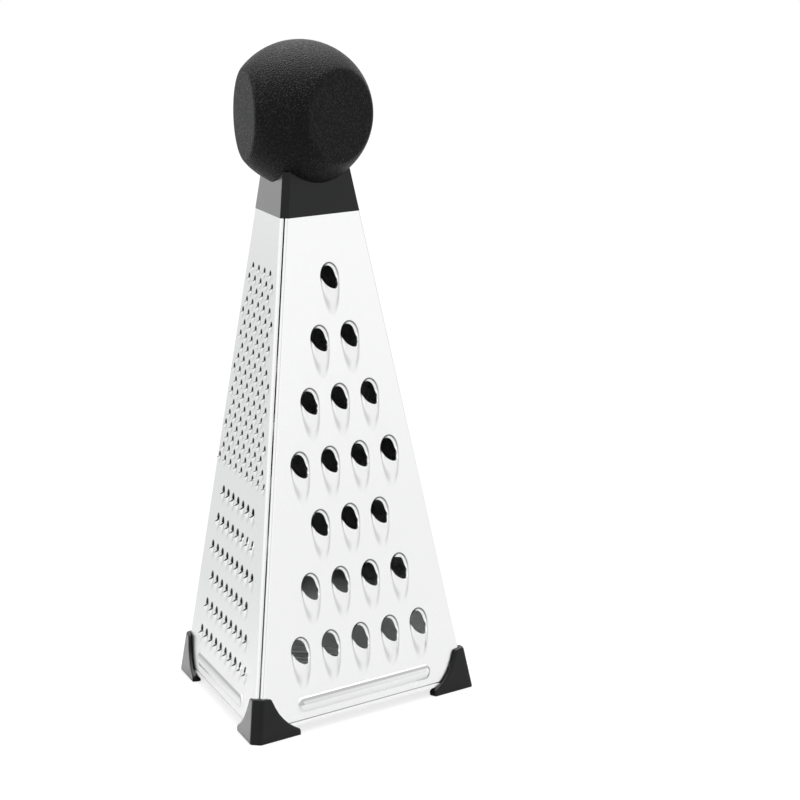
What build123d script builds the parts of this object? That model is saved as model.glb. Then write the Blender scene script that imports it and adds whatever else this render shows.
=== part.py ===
from build123d import *
from dataclasses import dataclass
from math import atan, cos, radians, sin, sqrt, tan
import os

# A three-sided tower grater. Millimetres, +Z up. The origin is on the floor, on the tower's axis.
# The coarse side faces -Y, the fine side the back left and the slicing side the back right.

# Whole object
total_height = 239.5
knob_diameter = 52.2
fit_gap = 0.1
overrun = 2.0

# Steel tower: widths are those of the sharp triangle, before its corners are cut
steel_lift = 3.0
steel_height = 175.3
base_width = 110.9
top_width = 41.7
corner_cut = 3.1
sheet = 0.4
seam_flange = 3.0
seam_bevel = 0.3

# Bottom hem and stiffening bead of each side
hem_height = 3.2
hem_length = 74.0
bead_height = 6.7
bead_length = 68.0
bead_width = 5.3
bead_rise = 0.9

# Clamping tab at the top of each side
tab_width = 18.0
tab_length = 3.4

# Pressed teeth: the axis of each ramp's cone lies this far below the sheet's inside
ramp_axis_gap = 0.2

# Coarse teeth
coarse_hole = 4.0
coarse_lip = 2.3
coarse_ramp = 14.0
coarse_rim = 1.4
coarse_rim_depth = 1.0
coarse_pitch = 15.1
coarse_row_pitch = 21.5
coarse_first_row = 25.3
coarse_row_counts = (5, 4, 3, 4, 3, 2, 1)

# Medium teeth, on the lower part of the fine side
medium_hole = 1.5
medium_lip = 0.7
medium_ramp = 6.0
medium_rim = 0.5
medium_rim_depth = 0.4
medium_pitch = 7.4
medium_row_pitch = 10.9
medium_first_row = 17.6
medium_row_counts = (10, 9, 8, 9, 8, 7)

# Fine rasp teeth, on the upper part of the fine side
fine_hole = 1.1
fine_lip = 0.45
fine_ramp = 3.8
fine_pitch = 8.25
fine_row_pitch = 4.27
fine_first_row = 83.5
fine_row_counts = (9, 8, 7, 8, 7, 6, 7, 6, 7, 6, 5, 6, 5, 6, 5, 4, 5, 4)

# Slicing slots
slicer_hole = 2.6
slicer_lip = 1.5
slicer_ramp = 12.0
slicer_row_pitch = 23.0
slicer_first_row = 48.0
slicer_side_margin = 13.0
slicer_count = 4

# Corner feet
foot_height = 15.8
foot_wall = 1.4
foot_corner_cut = 3.9
foot_rim = 1.6
wing_length = 24.0
wing_tip_height = 2.1
wing_tip_round = 0.8
wing_bend_inset = 15.3
wing_bend_height = 6.4
wing_bend_radius = 20.0
wing_shoulder_inset = 11.0
wing_shoulder_radius = 3.0
grip_height = 11.0
grip_reach = 9.0

# Collar, the knob's key in it, and the plug that clamps the sides to it
key_depth = 3.0
key_radius = 8.0
plug_height = 9.0
plug_corner_cut = 8.0
plug_web = 3.4
driver_gap = 2.0

# Knob
knob_flat_distance = 20.4
knob_edge_round = 2.5
grip_wall = 3.0

# Screw
screw_radius = 2.0
screw_gap = 0.25
screw_hold = 20.0
screw_bore_extra = 1.5
screw_head_radius = 4.0
screw_head_height = 2.6
screw_head_round = 0.8
cross_length = 4.4
cross_width = 0.9
cross_depth = 1.4

# Worked out from the sizes above
side_azimuth = {"coarse": -90.0, "fine": 150.0, "slicer": 30.0}
corner_azimuth = {"front_left": -150.0, "front_right": -30.0, "back": 90.0}
steel_top = steel_lift + steel_height
half_chord_share = sqrt(3) / 2
taper = atan((base_width - top_width) / (2 * sqrt(3)) / steel_height)
corner_taper = atan(2 * tan(taper))
floor_inradius = base_width / (2 * sqrt(3)) + steel_lift * tan(taper)
knob_radius = knob_diameter / 2
knob_centre = total_height - knob_radius
core_radius = knob_radius - grip_wall - fit_gap
core_flat_distance = knob_flat_distance - grip_wall - fit_gap
key_bottom = knob_centre - knob_radius - key_depth
plug_top = steel_top - sheet
screw_head_top = plug_top - plug_web
screw_tip = key_bottom + screw_hold


def inradius(height, inset=0.0):
    """Distance from the axis to a side at a height, for a block set in by inset."""
    return floor_inradius - height * tan(taper) - inset / cos(taper)


def around(azimuth, distance, height=0.0):
    """Point at a distance from the axis in the direction of an azimuth."""
    angle = radians(azimuth)
    return Vector(distance * cos(angle), distance * sin(angle), height)


def side_plane(azimuth, inset=0.0):
    """Outer plane of a side, or one set in from it, with Z pointing outwards."""
    normal = around(azimuth, cos(taper), sin(taper))
    across = around(azimuth + 90, 1)
    return Plane(origin=around(azimuth, inradius(0, inset)), x_dir=across, z_dir=normal)


def corner_distance(height, inset, cut):
    """Distance from the axis to the cut-back corner of a block set in by inset."""
    return 2 * inradius(height, inset) - half_chord_share * cut


def corner_plane(azimuth, inset, cut):
    """Plane that cuts back one corner, with Z pointing outwards."""
    normal = around(azimuth, cos(corner_taper), sin(corner_taper))
    start = around(azimuth, corner_distance(0, inset, cut))
    return Plane(origin=start, x_dir=around(azimuth + 90, 1), z_dir=normal)


def set_in_cut(inset):
    """Corner cut of the block whose sides and corners all lie inset inside the steel's outside."""
    corner_inset = inset / cos(corner_taper) - 2 * inset / cos(taper)
    return corner_cut + corner_inset / half_chord_share


def tower_block(inset, low, high, cut):
    """Solid three-sided frustum that follows the tower's taper."""
    with BuildPart() as block:
        with BuildSketch(Plane.XY.offset(low)):
            Circle(2 * inradius(low, inset) + overrun)
        extrude(amount=high - low)
        for azimuth in side_azimuth.values():
            split(bisect_by=side_plane(azimuth, inset), keep=Keep.BOTTOM)
        for azimuth in corner_azimuth.values():
            split(bisect_by=corner_plane(azimuth, inset, cut), keep=Keep.BOTTOM)
    return block.part


def on_side(azimuth, across, up):
    """Plane on a side's outside, at a place measured from the middle of the steel's bottom edge."""
    face = side_plane(azimuth)
    start = steel_lift / cos(taper)
    return Plane(
        origin=face.from_local_coords(Vector(across, start + up, 0)),
        x_dir=face.x_dir,
        z_dir=face.z_dir,
    )


def row_places(first_row, row_pitch, pitch, counts):
    """Places of a pattern of centred rows, from the lowest row up."""
    places = []
    for row, count in enumerate(counts):
        for column in range(count):
            across = (column - (count - 1) / 2) * pitch
            places.append((across, first_row + row * row_pitch))
    return places


@dataclass
class Tooth:
    """A pressed tooth: hole radius, lip height, ramp length below the hole's middle, length of the
    straight middle of a wide hole, and width and depth of the rim pressed inwards above the hole."""

    hole: float
    lip: float
    ramp: float
    span: float = 0
    rim: float = 0
    rim_depth: float = 0

    @property
    def crest(self):
        """Height that the ramp's line would reach over the hole's middle."""
        return self.lip / (1 - self.hole / self.ramp)


def ramp_solid(tooth, inset):
    """Ramp below a hole, or the hollow behind it: a lying cone, widened by a wedge for a wide hole."""
    depth = sheet + ramp_axis_gap
    outer_radius = tooth.crest + depth
    outer_length = tooth.ramp * outer_radius / tooth.crest
    radius = outer_radius - inset / cos(atan(outer_radius / outer_length))
    length = outer_length * radius / outer_radius
    half = tooth.span / 2
    with BuildPart() as ramp:
        with Locations((-half, 0, -depth), (half, 0, -depth)):
            Cone(radius, 0, length, rotation=(90, 0, 0), align=(Align.CENTER, Align.CENTER, Align.MIN))
        if tooth.span:
            with BuildSketch(Plane.YZ.offset(-half)):
                with BuildLine():
                    Polyline((0, radius - depth), (-length, -depth), (0, -depth), close=True)
                make_face()
            extrude(amount=tooth.span)
        if not inset:
            split(bisect_by=Plane.XY.offset(-sheet), keep=Keep.TOP)
    return ramp.part


def hole_cut(tooth):
    """What a hole takes out: all through the sheet, a little narrower inside a pressed-in rim."""
    reach = 2 * (tooth.crest + tooth.rim_depth + sheet)
    with BuildPart() as cut:
        with BuildSketch(Plane.XY.offset(-reach)):
            if tooth.span:
                SlotCenterToCenter(tooth.span, 2 * tooth.hole)
            else:
                Circle(tooth.hole)
                with Locations((0, tooth.hole)):
                    Rectangle(2 * tooth.hole, 2 * tooth.hole, mode=Mode.SUBTRACT)
                with Locations((0, tooth.rim / 2)):
                    Circle(tooth.hole - tooth.rim / 2)
        extrude(amount=2 * reach)
    return cut.part


def rim_cone(tooth, drop):
    """Funnel above a hole where the sheet is pressed in: its outside, or its inside lower by drop."""
    slope = tooth.rim / tooth.rim_depth
    top = -drop / 2
    bottom = -tooth.rim_depth - drop
    top_radius = tooth.hole + tooth.rim / 2 + slope * drop / 2
    bottom_radius = tooth.hole - tooth.rim / 2
    with BuildPart() as funnel:
        with Locations((0, tooth.rim / 2, bottom)):
            Cone(bottom_radius, top_radius, top - bottom, align=(Align.CENTER, Align.CENTER, Align.MIN))
        if drop:
            split(bisect_by=Plane(origin=(0, 0, 0), z_dir=(0, 1, 0)), keep=Keep.TOP)
    return funnel.part


def bead_solid(inset):
    """Long rounded bead, or the hollow behind it."""
    radius = ((bead_width / 2) ** 2 + bead_rise**2) / (2 * bead_rise)
    depth = radius - bead_rise
    half = (bead_length - bead_width) / 2
    with BuildPart() as bead:
        with Locations((0, 0, -depth)):
            Cylinder(radius - inset, 2 * half, rotation=(0, 90, 0))
        with Locations((-half, 0, -depth), (half, 0, -depth)):
            Sphere(radius - inset)
        if not inset:
            split(bisect_by=Plane.XY.offset(-sheet / 2), keep=Keep.TOP)
    return bead.part


def seam_fin(azimuth, side):
    """Flange of one side that turns inwards at a corner and lies against its neighbour's flange."""
    low_outer = corner_distance(steel_lift, 0, corner_cut) - sheet / 2
    high_outer = corner_distance(steel_top, 0, corner_cut) - sheet / 2
    depth = seam_flange + sheet / 2
    with BuildPart() as fin:
        with BuildSketch(Plane(origin=(0, 0, 0), x_dir=around(azimuth, 1), z_dir=around(azimuth - 90, 1))):
            with BuildLine():
                Polyline(
                    (low_outer, steel_lift),
                    (low_outer - depth, steel_lift),
                    (high_outer - depth, steel_top),
                    (high_outer, steel_top),
                    close=True,
                )
            make_face()
        extrude(amount=-side * sheet)
    return fin.part


def seam_groove(azimuth):
    """Bar along a corner's seam that bevels the two bends there."""
    low = around(azimuth, corner_distance(steel_lift, 0, corner_cut), steel_lift)
    high = around(azimuth, corner_distance(steel_top, 0, corner_cut), steel_top)
    along = (high - low).normalized()
    with BuildPart() as groove:
        with BuildSketch(Plane(origin=low - along * overrun, x_dir=around(azimuth + 90, 1), z_dir=along)):
            Rectangle(seam_bevel * sqrt(2), seam_bevel * sqrt(2), rotation=45)
        extrude(amount=(high - low).length + 2 * overrun)
    return groove.part


def blank_side(azimuth):
    """One folded side, still without teeth: panel, two half corners, flanges, hem, tab and bead."""
    left_corner = azimuth - 60
    right_corner = azimuth + 60
    outside = tower_block(0, steel_lift, steel_top, corner_cut)
    inside = tower_block(sheet, steel_lift - overrun, steel_top + overrun, set_in_cut(sheet))
    fins = [seam_fin(left_corner, 1), seam_fin(right_corner, -1)]
    grooves = [seam_groove(left_corner), seam_groove(right_corner)]
    bead_outside = bead_solid(0)
    bead_inside = bead_solid(sheet)
    tab_start = around(azimuth, inradius(steel_top), steel_top)
    with BuildPart() as side:
        add(outside)
        add(inside, mode=Mode.SUBTRACT)
        split(bisect_by=Plane(origin=(0, 0, 0), z_dir=around(left_corner + 90, 1)), keep=Keep.TOP)
        split(bisect_by=Plane(origin=(0, 0, 0), z_dir=around(right_corner - 90, 1)), keep=Keep.TOP)
        add(fins)
        add(grooves, mode=Mode.SUBTRACT)
        with BuildSketch(side_plane(azimuth, sheet / 2)):
            with Locations((0, steel_lift / cos(taper))):
                Rectangle(hem_length, hem_height, align=(Align.CENTER, Align.MIN))
        extrude(amount=-1.5 * sheet)
        split(bisect_by=Plane.XY.offset(steel_lift), keep=Keep.TOP)
        with BuildSketch(Plane(origin=tab_start, x_dir=around(azimuth + 90, 1), z_dir=(0, 0, 1))):
            Rectangle(tab_width, tab_length + sheet, align=(Align.CENTER, Align.MIN))
        extrude(amount=-sheet)
        with Locations(on_side(azimuth, 0, bead_height)):
            add(bead_outside)
            add(bead_inside, mode=Mode.SUBTRACT)
    return side.part


def toothed_side(name, patterns):
    """A folded side with its patterns of pressed teeth."""
    azimuth = side_azimuth[name]
    blank = blank_side(azimuth)
    steps = []
    for tooth, places in patterns:
        spots = [on_side(azimuth, across, up) for across, up in places]
        if tooth.rim:
            steps.append((spots, rim_cone(tooth, sheet), Mode.ADD))
            steps.append((spots, rim_cone(tooth, 0), Mode.SUBTRACT))
        steps.append((spots, ramp_solid(tooth, 0), Mode.ADD))
        steps.append((spots, ramp_solid(tooth, sheet), Mode.SUBTRACT))
        steps.append((spots, hole_cut(tooth), Mode.SUBTRACT))
    with BuildPart() as side:
        add(blank)
        for spots, tool, mode in steps:
            with Locations(*spots):
                add(tool, mode=mode)
    side.part.label = f"{name}_plate"
    return side.part


def slicer_patterns():
    """One wide slot a row, each as long as the side allows at its height."""
    patterns = []
    for row in range(slicer_count):
        up = slicer_first_row + row * slicer_row_pitch
        half_width = sqrt(3) * inradius(steel_lift + up * cos(taper))
        span = 2 * (half_width - slicer_side_margin - slicer_hole)
        patterns.append((Tooth(slicer_hole, slicer_lip, slicer_ramp, span=span), [(0, up)]))
    return patterns


def wing_prism(azimuth, side):
    """Block that gives a foot's wing its outline, seen square to the side that the wing lies on."""
    corner = sqrt(3) * inradius(0, -foot_wall)
    with BuildPart() as prism:
        with BuildSketch(side_plane(azimuth)):
            with BuildLine():
                FilletPolyline(
                    (side * (corner + overrun), -overrun),
                    (side * (corner - wing_length), -overrun),
                    (side * (corner - wing_length), wing_tip_height),
                    (side * (corner - wing_bend_inset), wing_bend_height),
                    (side * (corner - wing_shoulder_inset), foot_height),
                    (side * (corner + overrun), foot_height),
                    radius=[0, 0, wing_tip_round, wing_bend_radius, wing_shoulder_radius, 0],
                    close=True,
                )
            make_face()
        extrude(amount=2 * wing_length, both=True)
    return prism.part


def foot_key(azimuth):
    """Block of a foot that fills the steel corner from within and straddles the seam's flanges."""
    start = corner_distance(0, 0, corner_cut) - grip_reach
    slot_start = corner_distance(grip_height, 0, corner_cut) - seam_flange - sheet - fit_gap
    slot_plane = Plane(origin=around(azimuth, slot_start, steel_lift), x_dir=around(azimuth, 1))
    block = tower_block(sheet + fit_gap, 0, grip_height, set_in_cut(sheet + fit_gap))
    with BuildPart() as key:
        add(block)
        split(bisect_by=Plane(origin=around(azimuth, start), z_dir=around(azimuth, 1)), keep=Keep.TOP)
        with BuildSketch(slot_plane):
            Rectangle(2 * grip_reach, 2 * (sheet + fit_gap), align=(Align.MIN, Align.CENTER))
        extrude(amount=grip_height, mode=Mode.SUBTRACT)
    return key.part


def corner_foot(name):
    """A foot: outer skin with two wings, floor under the steel's edge, and the key inside the corner."""
    azimuth = corner_azimuth[name]
    outside = tower_block(-foot_wall, 0, foot_height, foot_corner_cut)
    steel_space = tower_block(-fit_gap, steel_lift, foot_height + overrun, set_in_cut(-fit_gap))
    floor_hole = tower_block(sheet + foot_rim, -overrun, steel_lift + overrun, corner_cut)
    wings = [wing_prism(azimuth + 60, -1), wing_prism(azimuth - 60, 1)]
    key = foot_key(azimuth)
    with BuildPart() as foot:
        add(outside)
        for wing in wings:
            add(wing, mode=Mode.INTERSECT)
        add(steel_space, mode=Mode.SUBTRACT)
        add(floor_hole, mode=Mode.SUBTRACT)
        add(key)
    foot.part.label = f"foot_{name}"
    return foot.part


def ball(radius, flat_distance):
    """Ball with a flat facing each side of the tower."""
    with BuildPart() as body:
        with Locations((0, 0, knob_centre)):
            Sphere(radius)
        for azimuth in side_azimuth.values():
            flat = Plane(origin=around(azimuth, flat_distance), z_dir=around(azimuth, 1))
            split(bisect_by=flat, keep=Keep.BOTTOM)
    return body.part


os.makedirs("parts", exist_ok=True)

# Steel sides
coarse_tooth = Tooth(coarse_hole, coarse_lip, coarse_ramp, rim=coarse_rim, rim_depth=coarse_rim_depth)
medium_tooth = Tooth(medium_hole, medium_lip, medium_ramp, rim=medium_rim, rim_depth=medium_rim_depth)
fine_tooth = Tooth(fine_hole, fine_lip, fine_ramp)
coarse_places = row_places(coarse_first_row, coarse_row_pitch, coarse_pitch, coarse_row_counts)
medium_places = row_places(medium_first_row, medium_row_pitch, medium_pitch, medium_row_counts)
fine_places = row_places(fine_first_row, fine_row_pitch, fine_pitch, fine_row_counts)
coarse_plate = toothed_side("coarse", [(coarse_tooth, coarse_places)])
fine_plate = toothed_side("fine", [(medium_tooth, medium_places), (fine_tooth, fine_places)])
slicer_plate = toothed_side("slicer", slicer_patterns())

# Collar: carries on the tower's taper, dished for the knob, with a six-sided pocket for its key
collar_block = tower_block(0, steel_top, knob_centre, corner_cut)
with BuildPart() as collar:
    add(collar_block)
    with Locations((0, 0, knob_centre)):
        Sphere(knob_radius + fit_gap, mode=Mode.SUBTRACT)
    with BuildSketch(Plane.XY.offset(key_bottom)):
        RegularPolygon(key_radius + fit_gap, 6)
    extrude(amount=key_depth + overrun, mode=Mode.SUBTRACT)
    with BuildSketch(Plane.XY.offset(steel_top)):
        Circle(screw_radius + screw_gap)
    extrude(amount=knob_centre - steel_top, mode=Mode.SUBTRACT)
collar.part.label = "collar"

# Plug: lies under the tabs of the three sides and is drawn up by the screw
plug_block = tower_block(sheet + fit_gap, plug_top - plug_height, plug_top, plug_corner_cut)
with BuildPart() as clamp_plug:
    add(plug_block)
    with BuildSketch(Plane.XY.offset(plug_top - plug_height)):
        Circle(screw_head_radius + driver_gap)
    extrude(amount=plug_height - plug_web, mode=Mode.SUBTRACT)
    with BuildSketch(Plane.XY.offset(plug_top)):
        Circle(screw_radius + screw_gap)
    extrude(amount=-plug_height, mode=Mode.SUBTRACT)
clamp_plug.part.label = "clamp_plug"

# Knob core: hard ball with its key below and the bore for the screw
core_ball = ball(core_radius, core_flat_distance)
with BuildPart() as knob_core:
    add(core_ball)
    with BuildSketch(Plane.XY.offset(key_bottom + fit_gap)):
        RegularPolygon(key_radius, 6)
    extrude(amount=knob_centre - key_bottom)
    with BuildSketch(Plane.XY.offset(key_bottom)):
        Circle(screw_radius + fit_gap / 2)
    extrude(amount=screw_hold + screw_bore_extra, mode=Mode.SUBTRACT)
knob_core.part.label = "knob_core"

# Knob grip: grained skin round the core, with softened edges round its flats
outer_ball = ball(knob_radius, knob_flat_distance)
core_space = ball(core_radius + fit_gap, core_flat_distance + fit_gap)
with BuildPart() as knob_grip:
    add(outer_ball)
    fillet(knob_grip.faces().filter_by(GeomType.PLANE).edges(), knob_edge_round)
    add(core_space, mode=Mode.SUBTRACT)
    with BuildSketch(Plane.XY.offset(key_bottom)):
        RegularPolygon(key_radius + fit_gap, 6)
    extrude(amount=knob_centre - key_bottom, mode=Mode.SUBTRACT)
knob_grip.part.label = "knob_grip"

# Screw: from inside the plug up into the knob core
with BuildPart() as knob_screw:
    with BuildSketch(Plane.XY.offset(screw_head_top)):
        Circle(screw_head_radius)
    extrude(amount=-screw_head_height)
    fillet(knob_screw.edges().sort_by(Axis.Z)[0], screw_head_round)
    with BuildSketch(Plane.XY.offset(screw_head_top)):
        Circle(screw_radius)
    extrude(amount=screw_tip - screw_head_top)
    with BuildSketch(Plane.XY.offset(screw_head_top - screw_head_height)):
        Rectangle(cross_length, cross_width)
        Rectangle(cross_width, cross_length)
    extrude(amount=cross_depth, mode=Mode.SUBTRACT)
knob_screw.part.label = "knob_screw"

# Feet: one on each corner of the steel
feet = [corner_foot(name) for name in corner_azimuth]

pieces = [coarse_plate, fine_plate, slicer_plate]
pieces += [collar.part, clamp_plug.part, knob_core.part, knob_grip.part, knob_screw.part]
pieces += feet
for piece in pieces:
    export_step(piece, f"parts/{piece.label}.step")
    print(piece.label, len(piece.solids()), round(piece.volume), piece.is_valid)
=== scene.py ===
"""Looks of a three-sided tower grater: pressed steel sides, grained ball knob, black collar and feet."""

import math

import bmesh
import bpy
from mathutils import Matrix, Vector


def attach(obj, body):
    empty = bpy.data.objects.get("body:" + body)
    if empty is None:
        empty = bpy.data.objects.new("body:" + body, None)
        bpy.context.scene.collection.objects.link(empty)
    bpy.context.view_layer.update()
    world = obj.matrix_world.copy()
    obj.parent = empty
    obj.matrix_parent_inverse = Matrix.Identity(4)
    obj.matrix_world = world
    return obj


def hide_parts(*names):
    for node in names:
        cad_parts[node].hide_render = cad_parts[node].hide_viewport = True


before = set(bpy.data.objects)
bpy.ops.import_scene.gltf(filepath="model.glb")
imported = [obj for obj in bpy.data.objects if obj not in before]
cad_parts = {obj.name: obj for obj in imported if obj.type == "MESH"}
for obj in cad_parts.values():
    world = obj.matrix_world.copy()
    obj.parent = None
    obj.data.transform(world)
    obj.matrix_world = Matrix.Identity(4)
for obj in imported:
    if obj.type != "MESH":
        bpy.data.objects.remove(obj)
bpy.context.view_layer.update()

MM = 0.001

# Steel tower, in millimetres, as in the solids
STEEL_LIFT = 3.0
STEEL_HEIGHT = 175.3
BASE_WIDTH = 110.9
TOP_WIDTH = 41.7
CORNER_CUT = 3.1
SHEET = 0.4
SEAM_FLANGE = 3.0
SEAM_GAP = 0.2
FACE_BEND = 0.9
SEAM_BEND = 0.45
TAPER = math.atan((BASE_WIDTH - TOP_WIDTH) / (2 * math.sqrt(3)) / STEEL_HEIGHT)
FLOOR_INRADIUS = BASE_WIDTH / (2 * math.sqrt(3)) + STEEL_LIFT * math.tan(TAPER)
SLANT = STEEL_HEIGHT / math.cos(TAPER)
AZIMUTHS = {"coarse": -90, "fine": 150, "slicer": 30}

# Ball knob
KNOB_RADIUS = 26.1
KNOB_CENTRE = 213.4
KNOB_FLAT = 20.4
KNOB_SHARPNESS = 80.0
KNOB_FACING = 0.3

# Cells and smoothing turns that round the feet
FOOT_CELL = 0.25
FOOT_TURNS = 45

# Direction of the slicing side's normal, and mirrored of the fine side's
COS30 = 0.866
SIN30 = 0.5

# Joins of points that belong together, in millimetres
TOOTH_JOIN = 0.001
PANEL_JOIN = 0.002
SIDE_JOIN = 0.003

# Camera and floor, in metres
CAMERA_PLACE = (-0.7895, -0.79545, 0.30174)
CAMERA_FORWARD = (0.71609, 0.67741, -0.16832)
CAMERA_ROLL = -0.11
CAMERA_LENS = 142.47
CAMERA_SENSOR = 36.0
FLOOR_HALF = 3.0


class Value:
    """A number socket of a node tree that can be used in Python sums."""

    def __init__(self, tree, socket):
        self.tree = tree
        self.socket = socket

    def math(self, operation, *others):
        return self.tree.node("ShaderNodeMath", {"operation": operation}, [self, *others])

    def __add__(self, other):
        return self.math("ADD", other)

    def __radd__(self, other):
        return self.math("ADD", other)

    def __sub__(self, other):
        return self.math("SUBTRACT", other)

    def __rsub__(self, other):
        return self.math("MULTIPLY", -1.0).math("ADD", other)

    def __mul__(self, other):
        return self.math("MULTIPLY", other)

    def __rmul__(self, other):
        return self.math("MULTIPLY", other)

    def __truediv__(self, other):
        return self.math("DIVIDE", other)

    def __pow__(self, other):
        return self.math("POWER", other)

    def __gt__(self, other):
        return self.math("GREATER_THAN", other)

    def least(self, other):
        return self.math("MINIMUM", other)

    def most(self, other):
        return self.math("MAXIMUM", other)

    def smooth(self, low, high):
        """0 below low, 1 above high, and an even turn between them."""
        settings = {"interpolation_type": "SMOOTHSTEP"}
        sockets = {"Value": self, "From Min": low, "From Max": high}
        return self.tree.node("ShaderNodeMapRange", settings, sockets)


class Tree:
    """Adds nodes to a material or a geometry tree."""

    def __init__(self, tree):
        self.tree = tree

    def node(self, kind, settings=None, sockets=None, out=0):
        """A new node with its settings, then the values or links of its sockets; returns one output."""
        made = self.tree.nodes.new(kind)
        for name, value in (settings or {}).items():
            setattr(made, name, value)
        pairs = enumerate(sockets) if isinstance(sockets, list) else (sockets or {}).items()
        for name, value in pairs:
            socket = made.inputs[name]
            if isinstance(value, Value):
                self.tree.links.new(value.socket, socket)
            elif isinstance(value, tuple) and value and isinstance(value[0], Value):
                for one in value:
                    self.tree.links.new(one.socket, socket)
            elif value is not None:
                socket.default_value = value
        return Value(self, made.outputs[out]) if made.outputs else made

    def vector(self, x, y, z):
        return self.node("ShaderNodeCombineXYZ", None, [x, y, z])

    def parts(self, vector):
        split = self.node("ShaderNodeSeparateXYZ", None, [vector])
        return [Value(self, socket) for socket in split.socket.node.outputs]


# ---- Pressed steel panels ----

# Settings of a tooth; the crease and edge settings scale the painted shade in its creases and at its
# punched edges
PANEL_INPUTS = {
    "Hole": 4.0,
    "Lip": 2.3,
    "Ramp": 14.5,
    "Rim": 1.4,
    "Rim Depth": 1.1,
    "Side": 0.4,
    "Span": 0.0,
    "Plateau": 1.0,
    "Dome": 0.0,
    "Crown": 1.0,
    "Fade": 1.5,
    "Edge Tone": 0.0,
    "Slim": 1.0,
    "Crease": 1.0,
    "Low Width": 100.0,
    "High Width": 60.0,
    "Low": 0.0,
    "High": 100.0,
}


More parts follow.
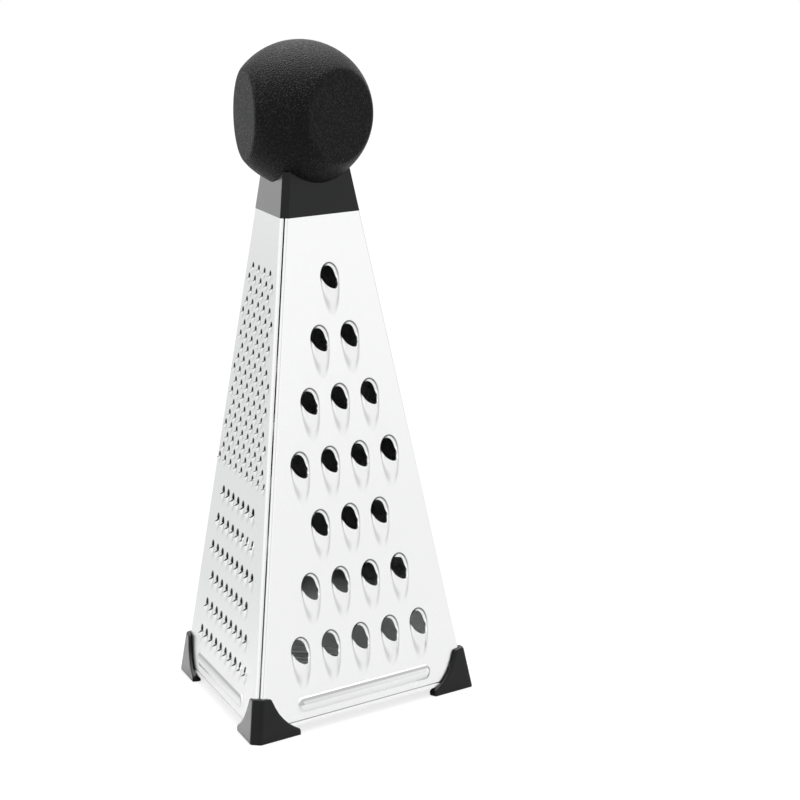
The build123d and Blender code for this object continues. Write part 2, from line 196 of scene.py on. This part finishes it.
def panel_tree():
    """Flat steel panel with a pressed tooth at every point of the mesh it is given."""
    group = bpy.data.node_groups.new("pressed_panel", "GeometryNodeTree")
    group.interface.new_socket("Points", in_out="INPUT", socket_type="NodeSocketGeometry")
    for name in PANEL_INPUTS:
        group.interface.new_socket(name, in_out="INPUT", socket_type="NodeSocketFloat")
    group.interface.new_socket("Spokes", in_out="INPUT", socket_type="NodeSocketInt")
    group.interface.new_socket("Rings", in_out="INPUT", socket_type="NodeSocketInt")
    group.interface.new_socket("Steel", in_out="INPUT", socket_type="NodeSocketMaterial")
    group.interface.new_socket("Panel", in_out="OUTPUT", socket_type="NodeSocketGeometry")
    tree = Tree(group)
    source = group.nodes.new("NodeGroupInput")
    given = {socket.name: Value(tree, socket) for socket in source.outputs}
    hole, lip, ramp, rim = (given[name] for name in ("Hole", "Lip", "Ramp", "Rim"))

    # One tooth as a fan of spokes and rings, from the hole's edge out to the flat sheet
    grid = tree.node(
        "GeometryNodeMeshGrid",
        None,
        {"Size X": 1.0, "Size Y": 1.0, "Vertices X": given["Spokes"] + 1, "Vertices Y": given["Rings"]},
    )
    across, along, _ = tree.parts(tree.node("GeometryNodeInputPosition"))
    angle = (across + 0.5) * (-2 * math.pi)
    ring = along + 0.5
    sine = angle.math("SINE")
    cosine = angle.math("COSINE")
    upper = sine.smooth(-0.4, 0.25)
    lower = (((sine * -1).most(0) / given["Plateau"]).least(1)) ** 2
    inner_x = cosine * hole * given["Slim"]
    inner_y = sine * hole
    outer_x = cosine * (hole + given["Side"])
    is_up = sine > 0
    outer_y = sine * (is_up * (hole + rim) + (1 - is_up) * ramp)
    lift = lip * (lower + (1 - lower) * given["Dome"]) - given["Rim Depth"] * upper
    fall = (1 - (ring ** given["Crown"]).least(1)) ** (given["Fade"] - 0.4 * upper)
    straight = ((cosine > 0) * 2 - 1) * given["Span"] * 0.5
    place = tree.vector(
        (inner_x + (outer_x - inner_x) * ring + straight) * MM,
        (inner_y + (outer_y - inner_y) * ring) * MM,
        lift * fall * MM,
    )
    # Painted shade: this attribute darkens a thin line round the upper rim, the upper left of the opening
    # and the lower flanks, where shade falls in the creases
    near_edge = (1.3 - (ring - 0.7).math("ABSOLUTE") / 0.2).most(0)
    filled = (cosine * -1).smooth(-0.3, 0.6) * (1 - ring.smooth(0.7, 0.95)) * upper
    near_edge = (near_edge + filled).least(1)
    arc = (1.5 - cosine * 0.8).most(0).least(1) * upper
    flanks = (1 - upper) * cosine.math("ABSOLUTE").smooth(0.1, 0.6) * 0.3
    # Painted shade at the punched edges round the hole of small teeth, scaled by the edge setting
    high_edge_shade = (1 - ring) * upper * 0.6
    low_edge_shade = (1 - ring * 4.0).most(0) * (1 - upper) * (1 - cosine.smooth(-0.4, 0.1))
    edge_shade = (high_edge_shade + low_edge_shade) * given["Edge Tone"]
    marked = grid
    for name, value in (("ring", ring), ("crease", near_edge * (arc + flanks) * given["Crease"] + edge_shade)):
        settings = {"data_type": "FLOAT", "domain": "POINT"}
        sockets = {"Geometry": marked, "Name": name, "Value": value}
        marked = tree.node("GeometryNodeStoreNamedAttribute", settings, sockets)
    shaped = tree.node("GeometryNodeSetPosition", None, {"Geometry": marked, "Position": place})
    sockets = {"Geometry": shaped, "Distance": TOOTH_JOIN * MM}
    tooth = tree.node("GeometryNodeMergeByDistance", None, sockets)
    smooth_tooth = tree.node("GeometryNodeSetShadeSmooth", None, {"Geometry": tooth, "Shade Smooth": True})

    # The outline of each tooth is cut out of the flat sheet, and the teeth are set in
    ring_read = tree.node("GeometryNodeInputNamedAttribute", {"data_type": "FLOAT"}, {"Name": "ring"})
    outline = tree.node("GeometryNodeMeshToCurve", None, {"Mesh": tooth, "Selection": ring_read > 0.999})
    teeth, outlines = (
        tree.node("GeometryNodeInstanceOnPoints", None, {"Points": given["Points"], "Instance": one})
        for one in (smooth_tooth, outline)
    )
    border = tree.node(
        "GeometryNodeCurvePrimitiveQuadrilateral",
        {"mode": "TRAPEZOID"},
        {
            "Height": (given["High"] - given["Low"]) * MM,
            "Bottom Width": given["Low Width"] * MM,
            "Top Width": given["High Width"] * MM,
            "Offset": 0.0,
        },
    )
    middle = tree.vector(0.0, (given["High"] + given["Low"]) * 0.5 * MM, 0.0)
    placed = tree.node("GeometryNodeTransform", None, {"Geometry": border, "Translation": middle})
    loops = tree.node("GeometryNodeJoinGeometry", None, {"Geometry": (placed, outlines)})
    real_loops = tree.node("GeometryNodeRealizeInstances", None, {"Geometry": loops})
    flat = tree.node("GeometryNodeFillCurve", None, {"Curve": real_loops})
    flat_shaded = tree.node("GeometryNodeSetShadeSmooth", None, {"Geometry": flat, "Shade Smooth": False})
    both = tree.node("GeometryNodeJoinGeometry", None, {"Geometry": (flat_shaded, teeth)})
    real = tree.node("GeometryNodeRealizeInstances", None, {"Geometry": both})
    whole = tree.node("GeometryNodeMergeByDistance", None, {"Geometry": real, "Distance": PANEL_JOIN * MM})
    steel = tree.node("GeometryNodeSetMaterial", None, {"Geometry": whole, "Material": given["Steel"]})
    sink = group.nodes.new("NodeGroupOutput")
    group.links.new(steel.socket, sink.inputs[0])
    return group


def plain_copy(thing):
    """What an object shows once its modifiers have run, as a mesh of its own."""
    bpy.context.view_layer.update()
    graph = bpy.context.evaluated_depsgraph_get()
    return bpy.data.meshes.new_from_object(thing.evaluated_get(graph))


def pressed_panel(tree, places, steel, spokes, rings, **sizes):
    """Mesh of one stretch of a side, flat but for its teeth."""
    points = bpy.data.meshes.new("tooth_points")
    points.from_pydata([(x * MM, y * MM, 0) for x, y in places], [], [])
    holder = bpy.data.objects.new("panel", points)
    bpy.context.scene.collection.objects.link(holder)
    maker = holder.modifiers.new("pressed_panel", "NODES")
    maker.node_group = tree
    values = {**PANEL_INPUTS, **sizes, "Spokes": spokes, "Rings": rings, "Steel": steel}
    for item in tree.interface.items_tree:
        if item.in_out == "INPUT" and item.name in values:
            maker[item.identifier] = values[item.name]
    mesh = plain_copy(holder)
    bpy.data.objects.remove(holder)
    return mesh


def inradius(z):
    return FLOOR_INRADIUS - z * math.tan(TAPER)


def edge_width(y):
    """Half the width of a side's flat panel at a distance up its slope."""
    z = STEEL_LIFT + y * math.cos(TAPER)
    return math.sqrt(3) * inradius(z) - CORNER_CUT - FACE_BEND * math.tan(math.radians(30))


def bend_points(start, heading, radius, turn, steps):
    """Points round a bend of a section, turning left, and where it ends."""
    points = []
    centre = start + radius * Vector((-math.sin(heading), math.cos(heading)))
    for step in range(1, steps + 1):
        angle = heading - math.pi / 2 + turn * step / steps
        points.append(centre + radius * Vector((math.cos(angle), math.sin(angle))))
    return points, heading + turn


def corner_section(y):
    """Half corner of a side at one height, from its flat panel round to the end of its flange."""
    z = STEEL_LIFT + y * math.cos(TAPER)
    start = Vector((edge_width(y), -inradius(z)))
    points = [start]
    bend, heading = bend_points(start, 0.0, FACE_BEND, math.radians(60), 6)
    points += bend
    straight = CORNER_CUT / 2 - FACE_BEND * math.tan(math.radians(30)) - SEAM_BEND - SEAM_GAP
    points.append(points[-1] + straight * Vector((math.cos(heading), math.sin(heading))))
    bend, heading = bend_points(points[-1], heading, SEAM_BEND, math.radians(90), 5)
    points += bend
    points.append(points[-1] + (SEAM_FLANGE - SEAM_BEND) * Vector((math.cos(heading), math.sin(heading))))
    local = []
    for point in points:
        out = -point.y - inradius(STEEL_LIFT)
        rise = z - STEEL_LIFT
        up = rise * math.cos(TAPER) - out * math.sin(TAPER)
        height = out * math.cos(TAPER) + rise * math.sin(TAPER)
        local.append(Vector((point.x, up, height)) * MM)
    return local


def add_corner(form, limits, side):
    """Folded corner strip along one edge of a side."""
    rows = []
    for y in limits:
        row = [Vector((side * p.x, p.y, p.z)) for p in corner_section(y)]
        rows.append([form.verts.new(p) for p in row])
    for low, high in zip(rows, rows[1:]):
        for j in range(len(low) - 1):
            loop = [low[j], low[j + 1], high[j + 1], high[j]]
            face = form.faces.new(loop if side > 0 else loop[::-1])
            face.smooth = True


def add_block(form, low, high):
    """Small square-edged block inside a side, given by two corners."""
    size = [(b - a) * MM for a, b in zip(low, high)]
    middle = Vector([(a + b) / 2 * MM for a, b in zip(low, high)])
    place = Matrix.Translation(middle) @ Matrix.Diagonal((*size, 1))
    bmesh.ops.create_cube(form, size=1, matrix=place)


def side_matrix(azimuth):
    """Places a side's own frame: X across, Y up the slope from its bottom edge, Z outwards."""
    a = math.radians(azimuth)
    normal = Vector((math.cos(a) * math.cos(TAPER), math.sin(a) * math.cos(TAPER), math.sin(TAPER)))
    across = Vector((-math.sin(a), math.cos(a), 0))
    up = normal.cross(across)
    reach = inradius(STEEL_LIFT)
    origin = Vector((reach * math.cos(a), reach * math.sin(a), STEEL_LIFT)) * MM
    turn = Matrix((across, up, normal)).transposed().to_4x4()
    return Matrix.Translation(origin) @ turn


def show(name, mesh, material, node, smooth_angle=None):
    """Puts a finished mesh in the scene in place of its solid."""
    thing = bpy.data.objects.new(name, mesh)
    bpy.context.scene.collection.objects.link(thing)
    mesh.materials.clear()
    mesh.materials.append(material)
    if smooth_angle is not None:
        mesh.set_sharp_from_angle(angle=math.radians(smooth_angle))
        level = thing.modifiers.new("level", "WEIGHTED_NORMAL")
        level.keep_sharp = True
        level.weight = 100
        done = plain_copy(thing)
        thing.modifiers.clear()
        thing.data = done
        bpy.data.meshes.remove(mesh)
        done.name = name
    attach(thing, "root")
    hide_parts(node)
    return thing


def steel_side(name, azimuth, stretches, tree, steel):
    """One whole side: its panels from bottom to top, folded corners, hem and clamping tab."""
    form = bmesh.new()
    limits = [0.0]
    for high, places, options in stretches:
        low = limits[-1]
        widths = {"Low Width": 2 * edge_width(low), "High Width": 2 * edge_width(high)}
        mesh = pressed_panel(tree, places, steel, Low=low, High=high, **widths, **options)
        form.from_mesh(mesh)
        bpy.data.meshes.remove(mesh)
        limits.append(high)
    for face in form.faces:
        face.normal_update()
        if face.normal.z < 0:
            face.normal_flip()
    add_corner(form, limits, 1)
    add_corner(form, limits, -1)
    bmesh.ops.remove_doubles(form, verts=form.verts, dist=SIDE_JOIN * MM)
    mesh = bpy.data.meshes.new(name)
    form.to_mesh(mesh)
    form.free()
    holder = bpy.data.objects.new("sheet", mesh)
    bpy.context.scene.collection.objects.link(holder)
    wall = holder.modifiers.new("sheet", "SOLIDIFY")
    wall.thickness = SHEET * MM
    wall.offset = -1
    thick = plain_copy(holder)
    bpy.data.objects.remove(holder)
    inside = thick.attributes.new("inside", "FLOAT", "POINT")
    outer_count = len(mesh.vertices)
    inside.data.foreach_set("value", [float(i >= outer_count) for i in range(len(thick.vertices))])
    form = bmesh.new()
    form.from_mesh(thick)
    for face in form.faces:
        face.smooth = True
    add_block(form, (-HEM_LENGTH / 2, 0, -2 * SHEET), (HEM_LENGTH / 2, HEM_HEIGHT, -SHEET))
    add_block(form, (-TAB_WIDTH / 2, SLANT - SHEET, -TAB_LENGTH), (TAB_WIDTH / 2, SLANT, -SHEET / 2))
    form.to_mesh(thick)
    form.free()
    thick.transform(side_matrix(azimuth))
    return show(f"{name}_side", thick, steel, f"{name}_plate", 32)


# Hem, clamping tab and pattern of each side, in millimetres, with rows counted from the bottom
HEM_HEIGHT = 3.2
HEM_LENGTH = 74.0
TAB_WIDTH = 18.0
TAB_LENGTH = 3.4
BEAD = {
    "Hole": 0.0, "Lip": 0.9, "Ramp": 2.65, "Rim": 2.65, "Rim Depth": 0.0, "Side": 2.65, "Span": 62.7,
    "Dome": 1.0, "Crown": 2.0, "Fade": 1.0, "Crease": 0.5, "spokes": 40, "rings": 12,
}
COARSE = {
    "Hole": 4.15, "Slim": 0.86, "Lip": 2.3, "Ramp": 14.0, "Rim": 1.4, "Rim Depth": 1.0, "Side": 0.7,
    "spokes": 44, "rings": 10,
}
MEDIUM = {
    "Hole": 1.5, "Lip": 1.3, "Ramp": 6.0, "Rim": 0.5, "Rim Depth": 0.3, "Side": 0.4, "Edge Tone": 4.5,
    "spokes": 22, "rings": 6,
}
FINE = {
    "Hole": 0.95, "Lip": 1.05, "Ramp": 3.4, "Rim": 0.55, "Rim Depth": 0.15, "Side": 0.5, "Edge Tone": 6.0,
    "spokes": 16, "rings": 5,
}
SLOT = {
    "Hole": 2.6, "Lip": 1.5, "Ramp": 12.0, "Rim": 0.3, "Rim Depth": 0.0, "Side": 0.3, "Plateau": 0.7,
    "Crease": 0.5,
    "spokes": 40, "rings": 8,
}
HEM_LINE = {
    "Hole": 0.0, "Lip": -0.15, "Ramp": 0.45, "Rim": 0.45, "Rim Depth": 0.0, "Side": 0.45, "Span": 86.0,
    "Dome": 1.0, "Crown": 2.0, "Fade": 1.0, "Crease": 0.8, "spokes": 16, "rings": 6,
}
HEM_LINE_HEIGHT = 1.3
HEM_LINE_END = 2.6
BEAD_HEIGHT = 6.7
BEAD_END = 10.2
FINE_START = 77.0
COARSE_ROWS = (25.3, 21.5, 15.1, (5, 4, 3, 4, 3, 2, 1))
MEDIUM_ROWS = (17.6, 10.9, 7.4, (10, 9, 8, 9, 8, 7))
FINE_ROWS = (83.5, 4.27, 8.25, (9, 8, 7, 8, 7, 6, 7, 6, 7, 6, 5, 6, 5, 6, 5, 4, 5, 4))
SLOT_ROWS = (48.0, 23.0, 4)
SLOT_MARGIN = 13.0


def rows(first, step, pitch, counts):
    """Places of a pattern of centred rows."""
    places = []
    for row, count in enumerate(counts):
        places += [((k - (count - 1) / 2) * pitch, first + row * step) for k in range(count)]
    return places


def slot_stretches():
    """One stretch of the slicing side for each slot, as long as the side allows."""
    first, step, count = SLOT_ROWS
    stretches = []
    for row in range(count):
        y = first + row * step
        half = math.sqrt(3) * inradius(STEEL_LIFT + y * math.cos(TAPER))
        span = 2 * (half - SLOT_MARGIN - SLOT["Hole"])
        high = SLANT if row == count - 1 else y + step / 2
        stretches.append((high, [(0, y)], {**SLOT, "Span": span}))
    return stretches


# ---- Materials ----


def material(name):
    """A new material, with its tree, its shader node and its points in the object's own metres."""
    made = bpy.data.materials.new(name)
    made.use_nodes = True
    tree = Tree(made.node_tree)
    shader = made.node_tree.nodes["Principled BSDF"]
    place = tree.node("ShaderNodeTexCoord", None, None, "Object")
    return made, tree, shader, place


def feed(tree, value, shader, name):
    tree.tree.links.new(value.socket, shader.inputs[name])


def noise(tree, place, scale, detail=2.0, roughness=0.5):
    return tree.node(
        "ShaderNodeTexNoise",
        None,
        {"Vector": place, "Scale": scale, "Detail": detail, "Roughness": roughness},
    )


def blend(tree, low, high, factor):
    """Colour between two others, each given as three numbers or as a socket."""
    low, high = (c if isinstance(c, Value) else (*c, 1) for c in (low, high))
    return tree.node("ShaderNodeMix", {"data_type": "RGBA"}, {0: factor, 6: low, 7: high}, 2)


def bump(tree, height, strength, distance):
    return tree.node(
        "ShaderNodeBump", None, {"Height": height, "Strength": strength, "Distance": distance}
    )


def brushed_steel():
    """Bright sheet steel, brushed up and down, with faint cloudy changes in its shine; painted shade
    darkens its inner face and the creases and punched edges of its teeth, and painted light brightens the
    inner face low on the slicing side.
    """
    made, tree, shader, place = material("brushed_sheet_steel")
    x, y, z = tree.parts(place)
    along_brush = tree.vector(x * 2600, y * 2600, z * 26)
    streaks = noise(tree, along_brush, 1.0, 3.0, 0.6)
    clouds = noise(tree, place, 22.0, 2.0)
    inside = tree.node("ShaderNodeAttribute", {"attribute_name": "inside"}, None, "Fac")
    bright = blend(tree, (0.9, 0.91, 0.91), (0.97, 0.97, 0.965), streaks)
    # Painted shade: the inner face is coloured dark grey for the shade inside the tower; the low mask
    # paints it lighter near the open foot of the slicing side, as painted light coming in there
    inner_shade_tone = blend(tree, (0.1, 0.103, 0.106), (0.19, 0.193, 0.196), streaks)
    low = (1 - z.smooth(0.026, 0.05)) * (x * COS30 + y * SIN30).smooth(0.018, 0.024)
    painted_inner_shade = blend(tree, inner_shade_tone, (0.62, 0.63, 0.64), low)
    # Painted shade: nearly black along the creases round the rims and at the punched edges of the teeth,
    # where shade falls
    crease = tree.node("ShaderNodeAttribute", {"attribute_name": "crease"}, None, "Fac")
    crease_shaded = blend(tree, bright, (0.03, 0.03, 0.032), crease.least(1) * 0.95)
    feed(tree, blend(tree, crease_shaded, painted_inner_shade, inside.smooth(0.02, 0.22)), shader, "Base Color")
    feed(tree, 0.17 + 0.1 * streaks + 0.06 * clouds, shader, "Roughness")
    feed(tree, bump(tree, streaks, 0.12, 0.02 * MM), shader, "Normal")
    shader.inputs["Metallic"].default_value = 1.0
    return made


def grained_rubber():
    """Charcoal knob skin with a fine pebbled grain, lighter on the tops of the pebbles."""
    made, tree, shader, place = material("grained_charcoal_rubber")
    settings = {"feature": "SMOOTH_F1"}
    sockets = {"Vector": place, "Scale": 1600.0, "Smoothness": 0.3}
    pebbles = tree.node("ShaderNodeTexVoronoi", settings, sockets)
    speckle = noise(tree, place, 1200.0, 2.0, 0.6)
    clouds = noise(tree, place, 60.0, 2.0)
    tops = (1 - pebbles).smooth(0.35, 0.75) * speckle.smooth(0.4, 0.6)
    feed(tree, blend(tree, (0.0005, 0.0006, 0.0006), (0.013, 0.0133, 0.0136), tops), shader, "Base Color")
    feed(tree, 0.42 + 0.08 * clouds - 0.24 * tops, shader, "Roughness")
    feed(tree, bump(tree, tops, 1.0, 0.3 * MM), shader, "Normal")
    shader.inputs["Specular IOR Level"].default_value = 0.13
    return made


def black_plastic(name, low, high, roughness, side_sheen=0.0):
    """Moulded black plastic, faintly satin, with a painted sheen: a clear coat only on the faces turned
    towards the fine side, so that they catch more light.
    """
    made, tree, shader, place = material(name)
    fine = noise(tree, place, 1800.0, 2.0)
    clouds = noise(tree, place, 70.0, 2.0)
    feed(tree, blend(tree, low, high, clouds), shader, "Base Color")
    feed(tree, roughness + 0.08 * clouds + 0.05 * fine, shader, "Roughness")
    feed(tree, bump(tree, fine, 0.12, 0.03 * MM), shader, "Normal")
    nx, ny, _ = tree.parts(tree.node("ShaderNodeTexCoord", None, None, "Normal"))
    # Painted sheen: the coat is laid only on faces turned towards the fine side
    feed(tree, (ny * SIN30 - nx * COS30).smooth(0.9, 0.97) * side_sheen, shader, "Coat Weight")
    shader.inputs["Coat Roughness"].default_value = 0.2
    shader.inputs["Specular IOR Level"].default_value = 0.25
    return made


def plated_steel():
    """Bright plated screw steel with faint turning marks."""
    made, tree, shader, place = material("plated_screw_steel")
    x, y, z = tree.parts(place)
    rings = noise(tree, tree.vector(x * 300, y * 300, z * 6000), 1.0, 2.0)
    feed(tree, blend(tree, (0.6, 0.6, 0.61), (0.72, 0.72, 0.73), rings), shader, "Base Color")
    feed(tree, 0.2 + 0.12 * rings, shader, "Roughness")
    shader.inputs["Metallic"].default_value = 1.0
    return made


# ---- Knob, collar, feet and inner pieces ----


def knob_mesh():
    """Ball with three flats whose edges are softly rounded."""
    form = bmesh.new()
    bmesh.ops.create_icosphere(form, subdivisions=7, radius=1.0)
    flats = [Vector((math.cos(math.radians(a)), math.sin(math.radians(a)), 0)) for a in AZIMUTHS.values()]
    for point in form.verts:
        heading = point.co.normalized()
        total = 1.0
        for flat in flats:
            facing = heading.dot(flat)
            if facing > KNOB_FACING:
                total += (facing * KNOB_RADIUS / KNOB_FLAT) ** KNOB_SHARPNESS
        reach = KNOB_RADIUS * total ** (-1 / KNOB_SHARPNESS)
        point.co = (heading * reach + Vector((0, 0, KNOB_CENTRE))) * MM
    for face in form.faces:
        face.smooth = True
    mesh = bpy.data.meshes.new("knob_skin")
    form.to_mesh(mesh)
    form.free()
    return mesh


def welded(node):
    """The solid's mesh as one closed skin with its flat faces whole, on an object of its own."""
    form = bmesh.new()
    form.from_mesh(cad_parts[node].data)
    bmesh.ops.remove_doubles(form, verts=form.verts, dist=PANEL_JOIN * MM)
    bmesh.ops.dissolve_limit(form, angle_limit=math.radians(1.0), verts=form.verts, edges=form.edges)
    for face in form.faces:
        face.smooth = True
    mesh = bpy.data.meshes.new(node + "_soft")
    form.to_mesh(mesh)
    form.free()
    holder = bpy.data.objects.new("soft", mesh)
    bpy.context.scene.collection.objects.link(holder)
    return holder


def softened(node, width, segments=3):
    """A solid's mesh with its edges rounded."""
    holder = welded(node)
    edge = holder.modifiers.new("edges", "BEVEL")
    edge.width = width * MM
    edge.segments = segments
    edge.limit_method = "ANGLE"
    edge.angle_limit = math.radians(35)
    edge.use_clamp_overlap = True
    done = plain_copy(holder)
    bpy.data.objects.remove(holder)
    return done


def moulded(node, cell, turns):
    """A solid's mesh made anew from small cells and smoothed, so that every edge and corner is round."""
    holder = welded(node)
    skin = holder.modifiers.new("skin", "REMESH")
    skin.mode = "VOXEL"
    skin.voxel_size = cell * MM
    skin.use_smooth_shade = True
    relax = holder.modifiers.new("relax", "SMOOTH")
    relax.factor = 0.5
    relax.iterations = turns
    done = plain_copy(holder)
    bpy.data.objects.remove(holder)
    return done


panel = panel_tree()
steel = brushed_steel()
foot_stretches = [(HEM_LINE_END, [(0, HEM_LINE_HEIGHT)], HEM_LINE), (BEAD_END, [(0, BEAD_HEIGHT)], BEAD)]
side_stretches = {
    "coarse": [(SLANT, rows(*COARSE_ROWS), COARSE)],
    "fine": [(FINE_START, rows(*MEDIUM_ROWS), MEDIUM), (SLANT, rows(*FINE_ROWS), FINE)],
    "slicer": slot_stretches(),
}
for side, stretches in side_stretches.items():
    steel_side(side, AZIMUTHS[side], [*foot_stretches, *stretches], panel, steel)

rubber = grained_rubber()
show("knob_skin", knob_mesh(), rubber, "knob_grip")
collar_tones = (0.002, 0.0024, 0.0027), (0.005, 0.0055, 0.006)
foot_tones = (0.001, 0.0013, 0.0016), (0.004, 0.0043, 0.0046)
collar_black = black_plastic("satin_black_collar", *collar_tones, 0.25, 0.9)
foot_black = black_plastic("satin_black_foot", *foot_tones, 0.3, 1.0)
inner_black = black_plastic("moulded_inner_black", (0.035, 0.035, 0.036), (0.05, 0.05, 0.052), 0.45)
show("collar_block", softened("collar", 0.35), collar_black, "collar", 40)
for corner in ("front_left", "front_right", "back"):
    foot = f"foot_{corner}"
    show(f"corner_{foot}", moulded(foot, FOOT_CELL, FOOT_TURNS), foot_black, foot)
show("plug_block", softened("clamp_plug", 0.3), inner_black, "clamp_plug", 40)
show("screw", softened("knob_screw", 0.12, 2), plated_steel(), "knob_screw", 40)
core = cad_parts["knob_core"]
core.data.materials.clear()
core.data.materials.append(inner_black)


# ---- Studio ----


def studio_floor():
    """White floor that glows for the camera and still keeps the shadow, with painted shade that greys it
    behind the object.
    """
    mesh = bpy.data.meshes.new("floor")
    corners = [(x * FLOOR_HALF, y * FLOOR_HALF, 0) for x, y in ((-1, -1), (1, -1), (1, 1), (-1, 1))]
    mesh.from_pydata(corners, [], [(0, 1, 2, 3)])
    floor = bpy.data.objects.new("floor", mesh)
    bpy.context.scene.collection.objects.link(floor)
    made, tree, shader, place = material("white_floor")
    x, y, _ = tree.parts(place)
    # Painted shade: the floor is coloured greyer behind the object, so that the steel mirrors a darker
    # floor there
    rear_shade = (x * 0.2 + y * 0.98).smooth(0.02, 0.3)
    feed(tree, blend(tree, (0.97, 0.97, 0.97), (0.82, 0.825, 0.83), rear_shade), shader, "Base Color")
    shader.inputs["Roughness"].default_value = 0.9
    shader.inputs["Specular IOR Level"].default_value = 0.0
    seen = tree.node("ShaderNodeLightPath", None, None, "Is Camera Ray")
    glow = tree.node("ShaderNodeEmission", None, {"Color": (1, 1, 1, 1), "Strength": 1.25})
    lit = Value(tree, shader.outputs[0])
    mixed = tree.node("ShaderNodeMixShader", None, [seen * 0.6, lit, glow])
    sink = made.node_tree.nodes["Material Output"]
    made.node_tree.links.new(mixed.socket, sink.inputs[0])
    mesh.materials.append(made)


def studio_world():
    """White surroundings, a little greyer behind the object for what the steel mirrors."""
    world = bpy.data.worlds.new("studio")
    bpy.context.scene.world = world
    world.use_nodes = True
    tree = Tree(world.node_tree)
    back = world.node_tree.nodes["Background"]
    back.inputs["Color"].default_value = (1, 1, 1, 1)
    seen = tree.node("ShaderNodeLightPath", None, None, "Is Camera Ray")
    mirrored = tree.node("ShaderNodeLightPath", None, None, "Is Glossy Ray")
    heading = tree.node("ShaderNodeTexCoord", None, None, "Generated")
    x, y, z = tree.parts(heading)
    behind = (x * 0.2 + y * 0.98).smooth(0.8, 0.99) * 0.14
    viewer = (x * -0.71 + y * -0.68 + z * 0.17).smooth(0.92, 0.99) * 0.35
    aside = (x * 0.99 + y * -0.03).smooth(0.94, 0.99) * 0.8
    above = (x * 0.2 + y * 0.25 + z * 0.95).smooth(0.72, 0.93) * 4.0
    glossy = (1 - behind) * (1 - viewer) * (1 - aside) * 1.03 + above
    clear = (1 - seen.most(mirrored)) * 0.9
    strength = clear + seen + (1 - seen) * mirrored * glossy
    tree.tree.links.new(strength.socket, back.inputs["Strength"])


def lamp(name, place, target, size, power):
    data = bpy.data.lights.new(name, "AREA")
    data.shape = "DISK"
    data.size = size
    data.energy = power
    thing = bpy.data.objects.new(name, data)
    bpy.context.scene.collection.objects.link(thing)
    thing.location = place
    thing.rotation_euler = (Vector(target) - Vector(place)).to_track_quat("-Z", "Y").to_euler()


def photo_camera():
    """Camera at the photograph's place: a little left of the front corner, and slightly above."""
    data = bpy.data.cameras.new("camera")
    data.sensor_width = CAMERA_SENSOR
    data.lens = CAMERA_LENS
    camera = bpy.data.objects.new("camera", data)
    bpy.context.scene.collection.objects.link(camera)
    forward = Vector(CAMERA_FORWARD).normalized()
    right = forward.cross(Vector((0, 0, 1))).normalized()
    up = right.cross(forward)
    roll = math.radians(CAMERA_ROLL)
    right, up = right * math.cos(roll) + up * math.sin(roll), up * math.cos(roll) - right * math.sin(roll)
    turn = Matrix((right, up, -forward)).transposed().to_4x4()
    camera.matrix_world = Matrix.Translation(CAMERA_PLACE) @ turn
    bpy.context.scene.camera = camera


studio_floor()
studio_world()
lamp("overhead", (-0.3, -0.1, 1.3), (0, 0, 0.12), 1.0, 1.5)
photo_camera()
bpy.context.scene.view_settings.view_transform = "Standard"
